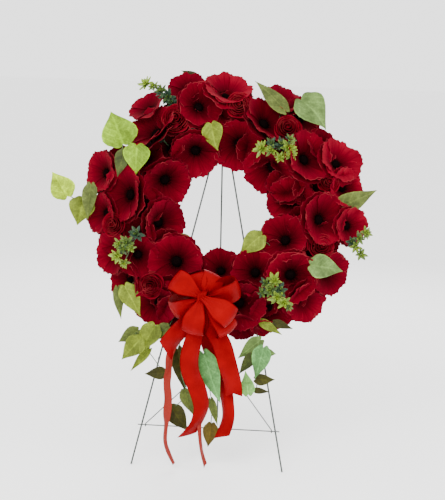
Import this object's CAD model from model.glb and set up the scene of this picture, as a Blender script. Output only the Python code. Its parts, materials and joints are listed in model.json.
# %% [markdown]
# # A poppy wreath on a folding wire easel
# The object is a florist's memorial wreath: a wrapped ring that carries silk poppies, a few roses,
# leaves and sprigs, with a red satin bow. It stands on a wire easel with three legs. The packed
# solids give every place and size. This lesson dresses them with fine surfaces, one kind of piece
# at a time. Every surface is worked out with numpy as a grid of points and turned into a mesh.

# %% Load the frame
import json

import bpy
import numpy as np
from mathutils import Matrix


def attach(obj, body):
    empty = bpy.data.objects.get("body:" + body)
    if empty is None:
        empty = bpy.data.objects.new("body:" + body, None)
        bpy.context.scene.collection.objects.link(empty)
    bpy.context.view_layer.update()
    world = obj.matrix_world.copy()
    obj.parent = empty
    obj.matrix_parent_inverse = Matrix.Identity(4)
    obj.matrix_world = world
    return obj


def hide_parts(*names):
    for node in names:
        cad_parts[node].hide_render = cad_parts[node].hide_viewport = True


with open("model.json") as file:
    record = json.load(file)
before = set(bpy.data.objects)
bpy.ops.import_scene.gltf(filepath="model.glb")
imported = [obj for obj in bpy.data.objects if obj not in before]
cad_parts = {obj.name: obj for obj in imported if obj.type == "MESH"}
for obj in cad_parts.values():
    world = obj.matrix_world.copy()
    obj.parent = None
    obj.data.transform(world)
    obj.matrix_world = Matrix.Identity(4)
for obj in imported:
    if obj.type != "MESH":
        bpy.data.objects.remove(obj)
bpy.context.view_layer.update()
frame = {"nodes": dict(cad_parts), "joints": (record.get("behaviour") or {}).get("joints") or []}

print("nodes in the frame:", len(frame["nodes"]))

# %% [markdown]
# The wreath leans back on the easel, so most places are easiest to give on its own leaning plane:
# so far across, so far down the slope from the apex, and so far out in front of the legs. The apex
# is where the back leg is hinged, so it is read from that joint. Lengths are in millimetres, as on
# a florist's order, and become metres when a mesh is made.

# %% The leaning plane
MM = 0.001
LEAN = np.radians(14.2)
ACROSS = np.array([1.0, 0.0, 0.0])
UPSLOPE = np.array([0.0, np.sin(LEAN), np.cos(LEAN)])
OUTWARD = np.array([0.0, -np.cos(LEAN), np.sin(LEAN)])
LEG_LENGTH = 762.0
FOOT_HALF_SPAN = 167.0
SLANT = np.sqrt(LEG_LENGTH**2 - FOOT_HALF_SPAN**2)
APEX_HEIGHT = SLANT * np.cos(LEAN)

hinge = [j for j in frame["joints"] if j["name"] == "back_leg_fold"][0]
APEX = np.array(hinge["pos_m"], float) / MM
FLOOR_POINT = APEX - np.array([0.0, 0.0, APEX_HEIGHT])

WREATH_ACROSS = 8.0
WREATH_DOWN = 160.0


def on_slope(across, down, out):
    """A point across from the apex, down the slope, and out in front of it."""
    return APEX + ACROSS * across - UPSLOPE * down + OUTWARD * out


def on_wreath(right, up, out):
    """A point right of and above the wreath's middle, and out of its face."""
    return on_slope(WREATH_ACROSS + right, WREATH_DOWN - up, out)


def under_apex(x, y, z):
    """A point from plain coordinates whose zero is on the floor below the apex."""
    return FLOOR_POINT + np.array([x, y, z], float)


print("apex, mm:", APEX.round(1), "wreath middle, mm:", on_wreath(0, 0, 0).round(1))

# %% [markdown]
# A few sums come back in almost every shape: a direction of length one, a direction part of the way
# round from one to another, a point that goes so far along several directions, a number that rises
# from 0 to 1 over a stretch, and even places on a circle or a grid. They all take whole arrays.

# %% Directions and rises
TURN = 2 * np.pi


def unit(v):
    """Directions scaled to length one."""
    return v / np.maximum(np.linalg.norm(v, axis=-1, keepdims=True), 1e-9)


def spoke(right, up, angle):
    """The direction at an angle round from right towards up, for every angle of an array."""
    angle = np.asarray(angle)[..., None]
    return right * np.cos(angle) + up * np.sin(angle)


def surface(start, *steps):
    """Points on a grid: a start, plus each direction times how far to go along it."""
    for direction, far in steps:
        start = start + direction * far[..., None]
    return start


def rise(x, low, high=1.0):
    """0 up to low, 1 from high on, and an even rise between."""
    return np.clip((x - low) / (high - low), 0, 1)


def smooth_step(x):
    """0 up to 0, 1 from 1 on, and a smooth rise between: three squares less two cubes."""
    x = np.clip(x, 0, 1)
    return 3 * x**2 - 2 * x**3


def circle(count):
    """Even angles once round, without the last one, which is the first again."""
    return np.linspace(0, TURN, count, endpoint=False)


def grid(rows, columns, first=0.0, last=1.0):
    """Even places along a surface, as a column, and across it from -1 to 1, as a row."""
    return np.linspace(first, last, rows)[:, None], np.linspace(-1, 1, columns)[None, :]


print("half way from right to up:", spoke(ACROSS, UPSLOPE, TURN / 8).round(2))

# %% [markdown]
# ## Camera, light and floor
# The picture is taken from a little above the middle of the wreath and slightly from the right,
# with a long lens, so the wreath looks almost flat. The camera is placed by its aim point, its
# distance and three angles.

# %% Camera
AIM = under_apex(14.4, -100.0, 474.9)
DISTANCE = 2363.5
AZIMUTH, ELEVATION, ROLL = np.radians([3.317, 8.95, 1.996])
LENS = 76.9
FAR_CLIP = 1500.0


def turned_basis(azimuth, elevation, roll):
    """Columns right, up and back of a camera: level axes, then turned about the view by roll."""
    right = np.array([np.cos(azimuth), np.sin(azimuth), 0.0])
    level_back = np.array([np.sin(azimuth), -np.cos(azimuth), 0.0])
    back = spoke(level_back, np.array([0.0, 0.0, 1.0]), elevation)
    up = np.cross(back, right)
    return np.stack([spoke(right, up, roll), spoke(up, -right, roll), back], axis=1)


def placed(obj, basis, at):
    """Puts an object at a point in millimetres with the given axes."""
    matrix = np.eye(4)
    matrix[:3, :3] = basis
    matrix[:3, 3] = np.asarray(at) * MM
    obj.matrix_world = Matrix(matrix.tolist())
    bpy.context.scene.collection.objects.link(obj)
    return obj


basis = turned_basis(AZIMUTH, ELEVATION, ROLL)
camera = bpy.data.objects.new("camera", bpy.data.cameras.new("camera"))
camera.data.lens = LENS
camera.data.clip_end = FAR_CLIP
placed(camera, basis, AIM + basis[:, 2] * DISTANCE)
bpy.context.scene.camera = camera
print("camera, m:", tuple(round(v, 3) for v in camera.location))

# %% [markdown]
# The studio is a pale floor, a bright plain surround, and three large soft lamps, because silk and
# satin look best with broad highlights.

# %% Lamps, surround and floor
WHITE = (1.0, 1.0, 1.0)
# place, size in metres, power in watts, colour
LAMPS = {
    "key_lamp": ((-500, -1900, 1900), 1.2, 62.0, (1.0, 0.985, 0.96)),
    "fill_lamp": ((1500, -1500, 900), 1.8, 20.0, WHITE),
    "back_lamp": ((300, 1900, 1700), 1.5, 30.0, WHITE),
}
SURROUND = 2.4
FLOOR_HALF = 400.0

for name, (place, size, power, colour) in LAMPS.items():
    at = under_apex(*place)
    back = unit(at - on_wreath(0, 0, 0))
    right = unit(np.cross([0.0, 0.0, 1.0], back))
    light = bpy.data.lights.new(name, "AREA")
    light.size, light.energy, light.color = size, power, colour
    axes = np.stack([right, np.cross(back, right), back], axis=1)
    placed(bpy.data.objects.new(name, light), axes, at)

world = bpy.data.worlds.new("studio")
world.use_nodes = True
background = world.node_tree.nodes["Background"]
background.inputs["Color"].default_value = WHITE + (1.0,)
background.inputs["Strength"].default_value = SURROUND
bpy.context.scene.world = world

corners = np.array([(-1, -1, 0), (1, -1, 0), (1, 1, 0), (-1, 1, 0)]) * FLOOR_HALF
floor_mesh = bpy.data.meshes.new("floor")
floor_mesh.from_pydata(corners.tolist(), [], [(0, 1, 2, 3)])
floor = bpy.data.objects.new("floor", floor_mesh)
bpy.context.scene.collection.objects.link(floor)
print("lamps and floor are in place")

# %% [markdown]
# ## Tools: surfaces
# Each piece is put together from patches. A patch is an array of points, arrays of faces, and
# values that the finish reads: a place across and along the surface, how far a point is from the
# rim, a tone and a colour. Cloth and leaves are thin shells with two sides and a rim, so the mesh
# is closed and still reads as a sheet. Wires are circles carried along a path.

# %% Patches
def patch(co, faces, uv=None, edge=0.0, tone=1.0, colour=WHITE, finish=0):
    """One surface: points (n, 3) in mm, face arrays, and what the finish reads at each point."""
    n = len(co)
    return {
        "co": co,
        "faces": faces,
        "uv": np.zeros((n, 2)) if uv is None else uv,
        "edge": np.broadcast_to(np.asarray(edge, float), n),
        "tone": np.broadcast_to(np.asarray(tone, float), n),
        "colour": np.broadcast_to(np.asarray(colour, float), (n, 3)),
        "finish": finish,
    }


def grid_faces(rows, columns, wrap=False):
    """Four-cornered faces between neighbouring points of a grid; wrap joins its last column on."""
    i = np.arange(rows - 1)[:, None]
    j = np.arange(columns if wrap else columns - 1)[None, :]
    right = (j + 1) % columns
    corners = [i * columns + j, (i + 1) * columns + j]
    corners += [(i + 1) * columns + right, i * columns + right]
    return np.stack([np.broadcast_to(c, (rows - 1, j.size)) for c in corners], -1).reshape(-1, 4)


def rim_of(rows, columns):
    """The indices round the edge of a grid, in order."""
    down = np.arange(rows - 1) * columns
    right = (rows - 1) * columns + np.arange(columns - 1)
    up = np.arange(rows - 1, 0, -1) * columns + columns - 1
    left = np.arange(columns - 1, 0, -1)
    return np.concatenate([down, right, up, left])


def shell(mid, thick, across, along, edge=0.0, **look):
    """A closed thin shell: the middle surface moved half its thickness along its normals to each
    side, and one strip of faces round the rim. A normal is the cross product of the surface's steps
    down the rows and the columns."""
    rows, columns = mid.shape[:2]
    normal = unit(np.cross(np.gradient(mid, axis=0), np.gradient(mid, axis=1)))
    step = normal * thick / 2
    count = rows * columns
    front = grid_faces(rows, columns)
    rim = rim_of(rows, columns)
    after = np.roll(rim, -1)
    strip = np.stack([after, rim, rim + count, after + count], -1)
    uv = np.stack(np.broadcast_arrays(across, along, np.zeros((rows, columns))), -1)[..., :2]
    edge = np.broadcast_to(edge, (rows, columns)).reshape(-1)
    return patch(
        np.concatenate([(mid + step).reshape(-1, 3), (mid - step).reshape(-1, 3)]),
        [front, front[:, ::-1] + count, strip],
        np.tile(uv.reshape(-1, 2), (2, 1)),
        np.tile(edge, 2),
        **look,
    )


def turned_along(path):
    """Two side directions for each point of a path. The first one is square to the path, and each
    later one is the one before it, laid square to the path again, so a tube doesn't twist."""
    ahead = unit(np.gradient(path, axis=0))
    start = np.eye(3)[np.argmin(np.abs(ahead[0]))]
    sides = []
    for direction in ahead:
        start = unit(start - direction * (start @ direction))
        sides.append(start)
    sides = np.array(sides)
    return sides, np.cross(ahead, sides)


def tube(path, radius, around=12, **look):
    """A round wire: a circle of the given radius carried along a path, closed by two flat caps."""
    path = np.asarray(path, float)
    side, other = turned_along(path)
    a = circle(around)
    co = (path[:, None] + spoke(side[:, None], other[:, None], a) * radius).reshape(-1, 3)
    last = (len(path) - 1) * around
    caps = np.array([np.arange(around), last + np.arange(around)[::-1]])
    step = np.linalg.norm(np.diff(path, axis=0), axis=1)
    along = np.repeat(np.concatenate([[0.0], np.cumsum(step)]) * MM, around)
    uv = np.stack([np.tile(a / TURN, len(path)), along], -1)
    return patch(co, [grid_faces(len(path), around, True)[:, ::-1], caps], uv, **look)


def turned(profile, at, axis, around=24, wave=0.0, waves=5, **look):
    """A turned form: a profile of (radius, height) pairs carried round an axis, with a pole at each
    end, where the radius is 0. wave swells the radius by that share, so many times round."""
    profile = np.asarray(profile, float)
    side, other = turned_along(np.array([at, at + axis]))
    a = circle(around)
    inner = profile[1:-1]
    radius = inner[:, :1] * (1 + wave * np.cos(waves * a))[None]
    ring = spoke(side[0], other[0], a)
    co = at + axis * inner[:, 1][:, None, None] + ring[None] * radius[..., None]
    poles = np.array([at + axis * profile[0, 1], at + axis * profile[-1, 1]])
    count = len(inner) * around
    i = np.arange(around)
    j = (i + 1) % around
    last = (len(inner) - 1) * around
    faces = [
        grid_faces(len(inner), around, True)[:, ::-1],
        np.stack([i, j, np.full(around, count)], -1)[:, ::-1],
        np.stack([last + i, last + j, np.full(around, count + 1)], -1),
    ]
    height = np.concatenate([np.repeat(np.linspace(0, 1, len(inner)), around), [0.0, 1.0]])
    uv = np.stack([np.concatenate([np.tile(a / TURN, len(inner)), [0, 0]]), height], -1)
    return patch(np.concatenate([co.reshape(-1, 3), poles]), faces, uv, **look)


print("shell, tube and turned form are ready")

# %% [markdown]
# Ribbons and stems follow smooth curves through a few given places, and bent wire is straight
# between its corners. Both are paths: arrays of points.

# %% Paths
def spline(stations, places):
    """A smooth curve through rows of numbers (Catmull-Rom): between two rows, the two rows next to
    them set the slopes. places run from 0 to 1 over the rows and may have any shape."""
    rows = np.asarray(stations, float)
    rows = np.concatenate([[2 * rows[0] - rows[1]], rows, [2 * rows[-1] - rows[-2]]])
    spans = len(rows) - 3
    t = np.clip(np.asarray(places, float), 0, 1) * spans
    k = np.minimum(t.astype(int), spans - 1)
    f = (t - k)[..., None]
    a, b, c, d = rows[k], rows[k + 1], rows[k + 2], rows[k + 3]
    return 0.5 * (
        2 * b + (c - a) * f + (2 * a - 5 * b + 4 * c - d) * f**2 + (3 * b - a - 3 * c + d) * f**3
    )


def rounded(points, radius, steps):
    """A path of straight runs whose corners are bent: a short curve replaces each corner."""
    points = [np.asarray(p, float) for p in points]
    out = [points[:1]]
    t = np.linspace(0, 1, steps + 1)[:, None]
    for before, p, after in zip(points, points[1:], points[2:]):
        a, b = p + unit(before - p) * radius, p + unit(after - p) * radius
        out.append(a * (1 - t) ** 2 + p * 2 * t * (1 - t) + b * t**2)
    return np.concatenate(out + [points[-1:]])


def path_length(line):
    """The length of a line of points."""
    return np.linalg.norm(np.diff(line, axis=0), axis=1).sum()


print("one unit square's bend:", rounded([(0, 1, 0), (0, 0, 0), (1, 0, 0)], 0.5, 4).shape, "points")

# %% [markdown]
# A piece is one object: its patches joined, in metres, with its finish, the body that it rides on,
# the record's slot that it takes its colour from, and the nodes that it stands for. Sharp corners,
# such as the cut edge of a petal, stay crisp because edges over 50 degrees are marked sharp.

# %% Pieces
CREASE = np.radians(50)


def piece(name, patches, finishes, body="frame", nodes=()):
    """Joins patches into one mesh object at the origin and tells the frame about it."""
    sizes = [len(p["co"]) for p in patches]
    starts = np.cumsum([0] + sizes[:-1])
    blocks = [(f + s, p["finish"]) for p, s in zip(patches, starts) for f in p["faces"]]
    faces = [face for block, _ in blocks for face in block.tolist()]
    joined = {key: np.concatenate([p[key] for p in patches]) for key in ("co", "uv", "colour")}
    mesh = bpy.data.meshes.new(name)
    mesh.from_pydata((joined["co"] * MM).tolist(), [], faces)
    for finish in finishes:
        mesh.materials.append(finish)
    used = np.concatenate([np.full(len(block), finish) for block, finish in blocks])
    mesh.polygons.foreach_set("material_index", used.astype(np.int32))
    mesh.polygons.foreach_set("use_smooth", np.ones(len(faces), bool))
    corner = np.zeros(len(mesh.loops), np.int32)
    mesh.loops.foreach_get("vertex_index", corner)
    uv = joined["uv"][corner].astype(np.float32)
    mesh.uv_layers.new(name="place").data.foreach_set("uv", uv.ravel())
    for key in ("edge", "tone"):
        values = np.concatenate([p[key] for p in patches]).astype(np.float32)
        mesh.attributes.new(key, "FLOAT", "POINT").data.foreach_set("value", values)
    colour = np.pad(joined["colour"], ((0, 0), (0, 1)), constant_values=1.0).astype(np.float32)
    mesh.attributes.new("tint", "FLOAT_COLOR", "POINT").data.foreach_set("color", colour.ravel())
    mesh.set_sharp_from_angle(angle=CREASE)
    mesh.validate()
    obj = bpy.data.objects.new(name, mesh)
    bpy.context.scene.collection.objects.link(obj)
    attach(obj, body)
    if nodes:
        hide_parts(*nodes)
    return obj


print("pieces can be made")

# %% [markdown]
# ## Tools: finishes
# A finish is a small network of nodes. The helpers below add one node at a time, join it to others,
# and mix two colours. Patterns follow the cloth, so they read the piece's own place across and
# along, or its own position.

# %% Finish helpers
def finish(name, roughness, **sockets):
    """A new material and its node tree, with plain numbers set on the shader, and the two places
    that patterns read: the position on the object, and the place across and along the cloth."""
    material = bpy.data.materials.new(name)
    material.use_nodes = True
    tree = material.node_tree
    for key, value in {"Roughness": roughness, **sockets}.items():
        tree.nodes["Principled BSDF"].inputs[key.replace("_", " ")].default_value = value
    coordinates = tree.nodes.new("ShaderNodeTexCoord")
    return material, tree, coordinates.outputs["Object"], coordinates.outputs["UV"]


def plug(tree, socket, value):
    """Links another node's output to a socket, or sets the socket to a plain value."""
    if isinstance(value, bpy.types.NodeSocket):
        tree.links.new(value, socket)
    else:
        socket.default_value = value


def add(tree, kind, out=0, settings=(), **inputs):
    """Adds a node, sets or links its inputs by name or as i0, i1, and gives one of its outputs."""
    node = tree.nodes.new("ShaderNode" + kind)
    for key, value in dict(settings).items():
        setattr(node, key, value)
    for key, value in inputs.items():
        numbered = key[0] == "i" and key[1:].isdigit()
        plug(tree, node.inputs[int(key[1:]) if numbered else key], value)
    return node.outputs[out]


def carried(tree, name, out=2):
    """What each point of the piece carries: a number, or with output 0 a colour."""
    return add(tree, "Attribute", out, {"attribute_name": name})


def part_of(tree, place, out):
    """The place across the cloth, with output 0, or along it, with output 1."""
    return add(tree, "SeparateXYZ", out, Vector=place)


def maths(tree, kind, a, b=0.0):
    """One sum, such as ADD or MULTIPLY, of two numbers."""
    return add(tree, "Math", settings={"operation": kind}, i0=a, i1=b)


def ramp(tree, amount, stops):
    """Colours or greys along a number: each stop is a place from 0 to 1 and a colour or a grey."""
    node = tree.nodes.new("ShaderNodeValToRGB")
    while len(node.color_ramp.elements) < len(stops):
        node.color_ramp.elements.new(0.5)
    for element, (place, colour) in zip(node.color_ramp.elements, stops):
        element.position = place
        element.color = ((colour,) * 3 if isinstance(colour, float) else colour) + (1.0,)
    tree.links.new(amount, node.inputs[0])
    return node.outputs[0]


def mixed(tree, amount, a, b, how="MIX"):
    """Colour a changed towards colour b by an amount, plainly or by how, such as MULTIPLY."""
    node = tree.nodes.new("ShaderNodeMix")
    node.data_type = "RGBA"
    node.blend_type = how
    for number, value in ((0, amount), (6, a), (7, b)):
        plug(tree, node.inputs[number], value + (1.0,) if isinstance(value, tuple) else value)
    return node.outputs[2]


def shaded(tree, colour, pattern, stops, amount=1.0):
    """A colour multiplied by a ramp along a pattern, as far as the amount says."""
    return mixed(tree, amount, colour, ramp(tree, pattern, stops), "MULTIPLY")


def noise(tree, where, scale, detail=2.0, roughness=0.5):
    """Cloudy noise from 0 to 1 at a place."""
    inputs = {"Vector": where, "Scale": scale, "Detail": detail, "Roughness": roughness}
    return add(tree, "TexNoise", **inputs)


def lines(tree, where, direction, scale, wobble=0.0):
    """Even stripes from 0 to 1 across a direction, with a wobble."""
    settings = {"bands_direction": direction}
    return add(tree, "TexWave", 1, settings, Vector=where, Scale=scale, Distortion=wobble)


def stretched(tree, where, x, y):
    """A place whose parts are multiplied, so that a pattern gets longer or finer one way."""
    return add(tree, "Mapping", Vector=where, Scale=(x, y, 1.0))


def paint(tree, colour):
    """Gives the shader its colour."""
    tree.links.new(colour, tree.nodes["Principled BSDF"].inputs["Base Color"])


def raised(tree, height, distance, strength=1.0, **under):
    """Bump: the surface seems raised by height times the distance, in metres. It may lie over
    another bump, given as Normal."""
    bump = add(tree, "Bump", Height=height, Distance=distance, Strength=strength, **under)
    tree.links.new(bump, tree.nodes["Principled BSDF"].inputs["Normal"])
    return bump


print("finish helpers are ready")

# %% [markdown]
# ### Silk petals
# The poppies are matt polyester silk, printed so that they darken to burgundy and almost black in
# the throat. The cut rim has faded to a thin lighter line, broken here and there. Fine veins are
# pressed into the cloth from throat to rim, and the weave shows close up.

# %% Petal silk
def petal_finish(name, throat, deep, body, rim, rim_from):
    """Colour from throat to rim by the place along the petal, with streaks, a tone for each petal,
    and a pale cut edge where the edge value is near 1."""
    gloss = {"Specular_IOR_Level": 0.06, "Specular_Tint": (1.0, 0.15, 0.12, 1.0)}
    material, tree, where, place = finish(name, 0.8, **gloss)
    streaks = noise(tree, stretched(tree, place, 26.0, 1.6), 1.0, 3.0)
    cloud = noise(tree, where, 38.0, 2.0)
    ragged = maths(tree, "MULTIPLY", maths(tree, "SUBTRACT", streaks, 0.5), 0.3)
    along = maths(tree, "ADD", part_of(tree, place, 1), ragged)
    silk = ramp(tree, along, [(0.08, throat), (0.36, deep), (0.8, body)])
    silk = shaded(tree, silk, streaks, [(0.3, 0.55), (0.7, 1.0)], 0.55)
    silk = shaded(tree, silk, cloud, [(0.3, 0.6), (0.72, 1.0)], 0.45)
    silk = mixed(tree, 1.0, silk, carried(tree, "tone"), "MULTIPLY")
    pale = ramp(tree, carried(tree, "edge"), [(rim_from, 0.0), (min(rim_from + 0.03, 1.0), 1.0)])
    patchy = ramp(tree, noise(tree, where, 45.0), [(0.45, 0.1), (0.62, 1.0)])
    silk = mixed(tree, maths(tree, "MULTIPLY", pale, patchy), silk, rim)
    paint(tree, silk)
    veins = raised(tree, streaks, 0.0006, 0.6)
    raised(tree, noise(tree, where, 1500.0, 1.0), 0.0002, 0.35, Normal=veins)
    return material


POPPY_SILK = petal_finish(
    "poppy_silk",
    throat=(0.004, 0.0001, 0.0004),
    deep=(0.044, 0.0003, 0.0028),
    body=(0.112, 0.0008, 0.0070),
    rim=(0.20, 0.018, 0.024),
    rim_from=0.970,
)
ROSE_SILK = petal_finish(
    "rose_silk",
    throat=(0.010, 0.0002, 0.001),
    deep=(0.050, 0.0004, 0.0030),
    body=(0.12, 0.0010, 0.0070),
    rim=(0.20, 0.016, 0.020),
    rim_from=0.96,
)
print("made", POPPY_SILK.name, "and", ROSE_SILK.name)

# %% [markdown]
# ### Plain mottled finishes
# The poppy's eye is a cushion of black plush that drinks the light, stems are wire in green tape,
# and the easel's wire is dipped in dark green-black paint, a little glossy and slightly uneven. All
# three are two close colours in cloudy noise, which also raises the surface a little.

# %% Plush, tape and paint
def mottled(name, roughness, cloud, stops, bump, **sockets):
    """Colours along a noise, given by its scale, detail and roughness, and the noise as a bump."""
    material, tree, where, _ = finish(name, roughness, **sockets)
    pattern = noise(tree, where, *cloud)
    paint(tree, ramp(tree, pattern, stops))
    raised(tree, pattern, *bump)
    return material


PLUSH_BLACKS = [(0.35, (0.0008, 0.0004, 0.0004)), (0.75, (0.006, 0.003, 0.003))]
EYE = mottled("eye_plush", 0.95, (900.0, 3.0, 0.7), PLUSH_BLACKS, (0.0008,), Specular_IOR_Level=0.0)
TAPE_GREENS = [(0.3, (0.018, 0.045, 0.012)), (0.7, (0.05, 0.10, 0.025))]
STEM = mottled("stem_tape", 0.6, (300.0,), TAPE_GREENS, (0.0003,))
PAINT_DARKS = [(0.3, (0.006, 0.010, 0.008)), (0.7, (0.014, 0.022, 0.018))]
PAINT = mottled("wire_paint", 0.38, (90.0, 3.0), PAINT_DARKS, (0.0002, 0.4), Coat_Weight=0.2)
print("made", EYE.name, STEM.name, PAINT.name)

# %% [markdown]
# ### Leaves
# The leaves are printed cloth. Each leaf brings its own colour as a tint; the finish mottles it
# with lighter and darker clouds, and draws paler veins where the edge value marks them. The cloth
# is a little waxy, so it is smoother than the petals.

# %% Leaf cloth
LEAF, tree, where, place = finish("leaf_cloth", 0.6, Specular_IOR_Level=0.12)
veins = carried(tree, "edge")
green = carried(tree, "tint", 0)
green = shaded(tree, green, noise(tree, where, 42.0, 4.0, 0.6), [(0.36, 0.6), (0.62, 1.15)])
green = shaded(tree, green, noise(tree, where, 260.0, 3.0, 0.6), [(0.45, 0.92), (0.68, 1.3)])
green = shaded(tree, green, veins, [(0.1, 1.0), (1.0, 1.6)])
pale_sides = [(0.0, 1.6), (0.06, 1.0), (0.94, 1.0), (1.0, 1.6)]
green = shaded(tree, green, part_of(tree, place, 0), pale_sides)
green = shaded(tree, green, carried(tree, "tone"), [(0.0, 0.35), (1.0, 1.0)], 0.8)
paint(tree, green)
pressed = raised(tree, veins, 0.0005, 0.5)
raised(tree, noise(tree, where, 1300.0), 0.0002, 0.4, Normal=pressed)
print("made", LEAF.name)

# %% [markdown]
# ### Sprigs and the wrapped ring
# The sprigs are moulded soft plastic, dark green near the stem and bright lime at the young tips,
# so each leaflet brings its tint. The ring is wrapped in dark green tape with slanted threads.

# %% Sprig plastic and ring tape
SPRIG, tree, where, _ = finish("sprig_plastic", 0.45, Specular_IOR_Level=0.45)
cloud = noise(tree, where, 220.0)
paint(tree, shaded(tree, carried(tree, "tint", 0), cloud, [(0.3, 0.6), (0.65, 1.0)], 0.6))
raised(tree, cloud, 0.0002, 0.5)

WRAP, tree, where, _ = finish("ring_wrap", 0.88, Sheen_Weight=0.1)
threads = lines(tree, where, "DIAGONAL", 240.0, 1.0)
worn = noise(tree, where, 45.0, 3.0)
dark = ramp(tree, worn, [(0.3, (0.006, 0.014, 0.005)), (0.7, (0.016, 0.036, 0.010))])
paint(tree, mixed(tree, 0.3, dark, threads, "MULTIPLY"))
raised(tree, threads, 0.0003, 0.5)
print("made", SPRIG.name, WRAP.name)

# %% [markdown]
# ### Ribbons
# The bow is red satin: a bright warm red with a fine rib across it, and two firm selvedges. The
# long thin streamers are sheer woven ribbon in a duller orange red.

# %% Satin, sheer ribbon and the floor
gloss = {"Specular_IOR_Level": 0.12, "Specular_Tint": (1.0, 0.03, 0.02, 1.0)}
SATIN, tree, where, place = finish("red_satin", 0.42, **gloss)
reds = [(0.3, (0.12, 0.0001, 0.0016)), (0.7, (0.18, 0.0002, 0.0026))]
selvedges = [(0.0, 0.72), (0.035, 0.72), (0.045, 1.0), (0.955, 1.0), (0.965, 0.72)]
red = ramp(tree, noise(tree, where, 26.0), reds)
paint(tree, shaded(tree, red, part_of(tree, place, 0), selvedges))
raised(tree, lines(tree, place, "Y", 420.0, 0.4), 0.0002, 0.35)

SHEER, tree, _, place = finish("sheer_ribbon", 0.6, Specular_IOR_Level=0.15)
weave = lines(tree, stretched(tree, place, 0.02, 1.0), "DIAGONAL", 600.0)
paint(tree, mixed(tree, weave, (0.13, 0.002, 0.001), (0.22, 0.016, 0.007)))
raised(tree, weave, 0.0002, 0.5)

pale_floor = finish("pale_floor", 0.9, Base_Color=(0.94, 0.94, 0.94, 1.0))[0]
floor.data.materials.append(pale_floor)
print("made", SATIN.name, SHEER.name, pale_floor.name)

# %% [markdown]
# ## The ring
# The ring is a foam or straw tube wrapped with cloth tape. Each turn of the tape lies partly over
# the one before it, so the tube steps up a little and falls back all the way round. It is a torus
# whose radius has that saw-tooth in it.

# %% The wrapped ring
RING_RADIUS = 200.0
RING_TUBE = 24.0
RING_OUT = 30.0
TAPE_TURNS = 46
TAPE_STEP = 1.6


def ring_patch():
    """A torus in the wreath's plane: u runs round the ring, v round its tube. The tape's step is a
    slow rise and quick fall of the tube's radius, slanted because the tape is wound at an angle."""
    u = circle(TAPE_TURNS * 8)[:, None]
    v = circle(20)[None, :]
    phase = (u * TAPE_TURNS + 2 * v) / TURN % 1.0
    step = np.minimum(phase / 0.85, (1 - phase) / 0.15)
    radius = RING_TUBE - TAPE_STEP + TAPE_STEP * step
    far = RING_RADIUS + radius * np.cos(v)
    round_ring = (UPSLOPE, far * np.cos(u)), (ACROSS, far * np.sin(u))
    co = surface(on_wreath(0, 0, RING_OUT), *round_ring, (OUTWARD, radius * np.sin(v)))
    rows, columns = co.shape[:2]
    faces = grid_faces(rows + 1, columns, True) % (rows * columns)
    uv = np.stack(np.broadcast_arrays(u * TAPE_TURNS, v), -1).reshape(-1, 2)
    return patch(co.reshape(-1, 3), [faces[:, ::-1]], uv)


ring = piece("wrapped_ring", [ring_patch()], [WRAP], nodes=["wreath_ring"])
print("ring faces:", len(ring.data.polygons))

# %% [markdown]
# ## Where the flowers stand
# A flower is given by its clock hour, its distance from the wreath's middle, its size, and how far
# it looks outward and round the clock. Its throat stands on a rounded ridge in front of the ring,
# and its wire stem runs back to a root on the front of the ring.

# %% A flower's own axes
FLOWER_STANDOFF = 48.0
LEAST_LIFT = 20.0
ROOT_RADIUS = RING_TUBE + 3.0
HOUR = np.radians(30)


def on_ring_front(hour, off):
    """A place on the front of the ring, a little round its tube towards the flower it carries."""
    a = hour * HOUR
    roll = np.arctan2(off, FLOWER_STANDOFF) * 0.8
    far = RING_RADIUS + ROOT_RADIUS * np.sin(roll)
    return on_wreath(far * np.sin(a), far * np.cos(a), RING_OUT + ROOT_RADIUS * np.cos(roll))


def flower_axes(hour, distance, outward, round_clock, standoff=FLOWER_STANDOFF):
    """Throat, root, axis and two rim directions of a flower. The axis is straight out of the
    wreath, tipped away from its middle and round the clock by the two angles."""
    a = hour * HOUR
    radial, around = spoke(UPSLOPE, ACROSS, a), spoke(ACROSS, -UPSLOPE, a)
    lean, sway = np.tan(np.radians([outward, round_clock]))
    off = distance - RING_RADIUS
    lift = RING_OUT + np.sqrt(max(LEAST_LIFT**2, standoff**2 - off**2))
    axis = unit(OUTWARD + radial * lean + around * sway)
    throat = on_wreath(distance * np.sin(a), distance * np.cos(a), lift)
    right = unit(around - axis * (around @ axis))
    return throat, on_ring_front(hour, off), axis, right, np.cross(axis, right)


print("throat of a flower at 12:", flower_axes(12, 200, 0, 0)[0].round(1))

# %% [markdown]
# ## Poppies
# A silk poppy is stamped from flat cloth: four petals in two pairs, pulled into a wide funnel by
# their crossed bases, with a plush eye in the throat and a green calyx behind. Each petal here is
# one grid, from throat to rim and from side to side. The height over the throat follows a curve
# that flares at the rim, slow waves run round it, and the rim is pinked with ragged teeth. Each
# petal lies over its left neighbour and under its right one, so all four overlap all the way. A
# flatter whorl of three petals lies under the funnel and shows its ragged edge round it.

# %% A poppy petal
FINE = (11, 57)
COARSE = (8, 41)
RIM_CROWDING = 1.25
CUP_DEPTH = 0.55
PETAL_SPAN = np.radians(70)
SILK_THICK = 0.6
# shares of the petal's length
THROAT = 0.07
CORNER_LOSS = 0.15
TOOTH_DEPTH = 0.045
OVERLAP_LIFT = 0.022
CURL_IN, CURL_BACK = 0.05, 0.10
TEETH = 13


def cup_waves(angle, v, rng, size):
    """Slow waves of the whole cup: sums of cosines round the axis that grow towards the rim."""
    a, b, c, d = rng.uniform(0, TURN, 4)
    slow = 0.060 * np.cos(angle + d) + 0.055 * np.cos(2 * angle + a)
    slow = slow + 0.045 * np.cos(3 * angle + b)
    return size * v**2 * (slow + 0.030 * v**3 * np.cos(8 * angle + c))


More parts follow.
